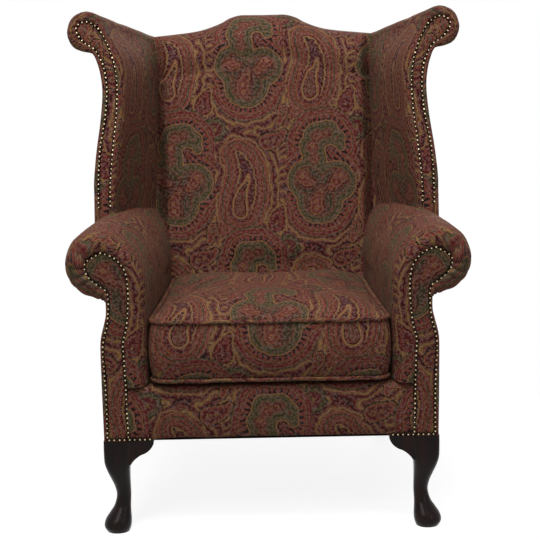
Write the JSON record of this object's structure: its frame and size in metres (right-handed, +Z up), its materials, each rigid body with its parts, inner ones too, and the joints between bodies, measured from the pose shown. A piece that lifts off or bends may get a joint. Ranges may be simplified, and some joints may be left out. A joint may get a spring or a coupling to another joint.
{
  "type": "wingback armchair",
  "caption": "Upholstered wingback armchair with scrolled wings and arms, nailed facings, loose piped cushion and cabriole legs.",
  "frame": {"origin": "on the floor under the middle of the chair's bounding box", "axes": "+Z up, -Y towards the front of the seat, +X to the right of someone who faces the chair"},
  "size_m": [0.923, 0.7808, 1.1395],
  "materials": {
    "cover_fabric": "woven paisley cloth, rust and brown with olive and gold",
    "beech": "planed, unfinished",
    "mahogany": "dark stained and polished",
    "webbing": "woven jute straps",
    "dust_cloth": "black bottoming cloth",
    "foam": "open-cell cushion foam",
    "piping_fabric": "paisley cloth cut on the bias",
    "bolt_steel": "plain steel",
    "zip_tape": "dark zip chain",
    "zip_brass": "aged brass"
  },
  "bodies": {
    "chair": {"arm_board_left": "beech", "arm_board_right": "beech", "arm_facing_left": "cover_fabric", "arm_facing_right": "cover_fabric", "arm_pad_left": "cover_fabric", "arm_pad_right": "cover_fabric", "arm_post_left": "beech", "arm_post_right": "beech", "back_rail": "beech", "back_stay_rail": "beech", "back_upright_left": "beech", "back_upright_right": "beech", "back_webbing": "webbing", "corner_blocks": "beech", "crest_rail": "beech", "dust_cover": "dust_cloth", "front_border": "cover_fabric", "front_leg_left": "mahogany", "front_leg_right": "mahogany", "front_rail": "beech", "inside_back": "cover_fabric", "knee_brackets": "mahogany", "leg_bolts": "bolt_steel", "outside_arm_left": "cover_fabric", "outside_arm_right": "cover_fabric", "outside_back": "cover_fabric", "outside_wing_left": "cover_fabric", "outside_wing_right": "cover_fabric", "rear_leg_left": "mahogany", "rear_leg_right": "mahogany", "seat_deck": "cover_fabric", "seat_webbing_cross": "webbing", "seat_webbing_long": "webbing", "side_rail_left": "beech", "side_rail_right": "beech", "wing_facing_left": "cover_fabric", "wing_facing_right": "cover_fabric", "wing_pad_left": "cover_fabric", "wing_pad_right": "cover_fabric", "wing_post_left": "beech", "wing_post_right": "beech", "wing_rail_left": "beech", "wing_rail_right": "beech"},
    "cushion": {"cushion_core": "foam", "cushion_cover": "cover_fabric", "cushion_piping": "piping_fabric", "zip_chain": "zip_tape"},
    "zip_slider": {"zip_slider": "zip_brass"}
  },
  "joints": [
    {"name": "cushion_lift", "type": "slide", "parent": "chair", "child": "cushion", "axis": [0, 0, 1], "range_m": [0, 0.15]},
    {"name": "zip_slide", "type": "slide", "parent": "cushion", "child": "zip_slider", "axis": [1, 0, 0], "range_m": [-0.31, 0]}
  ]
}
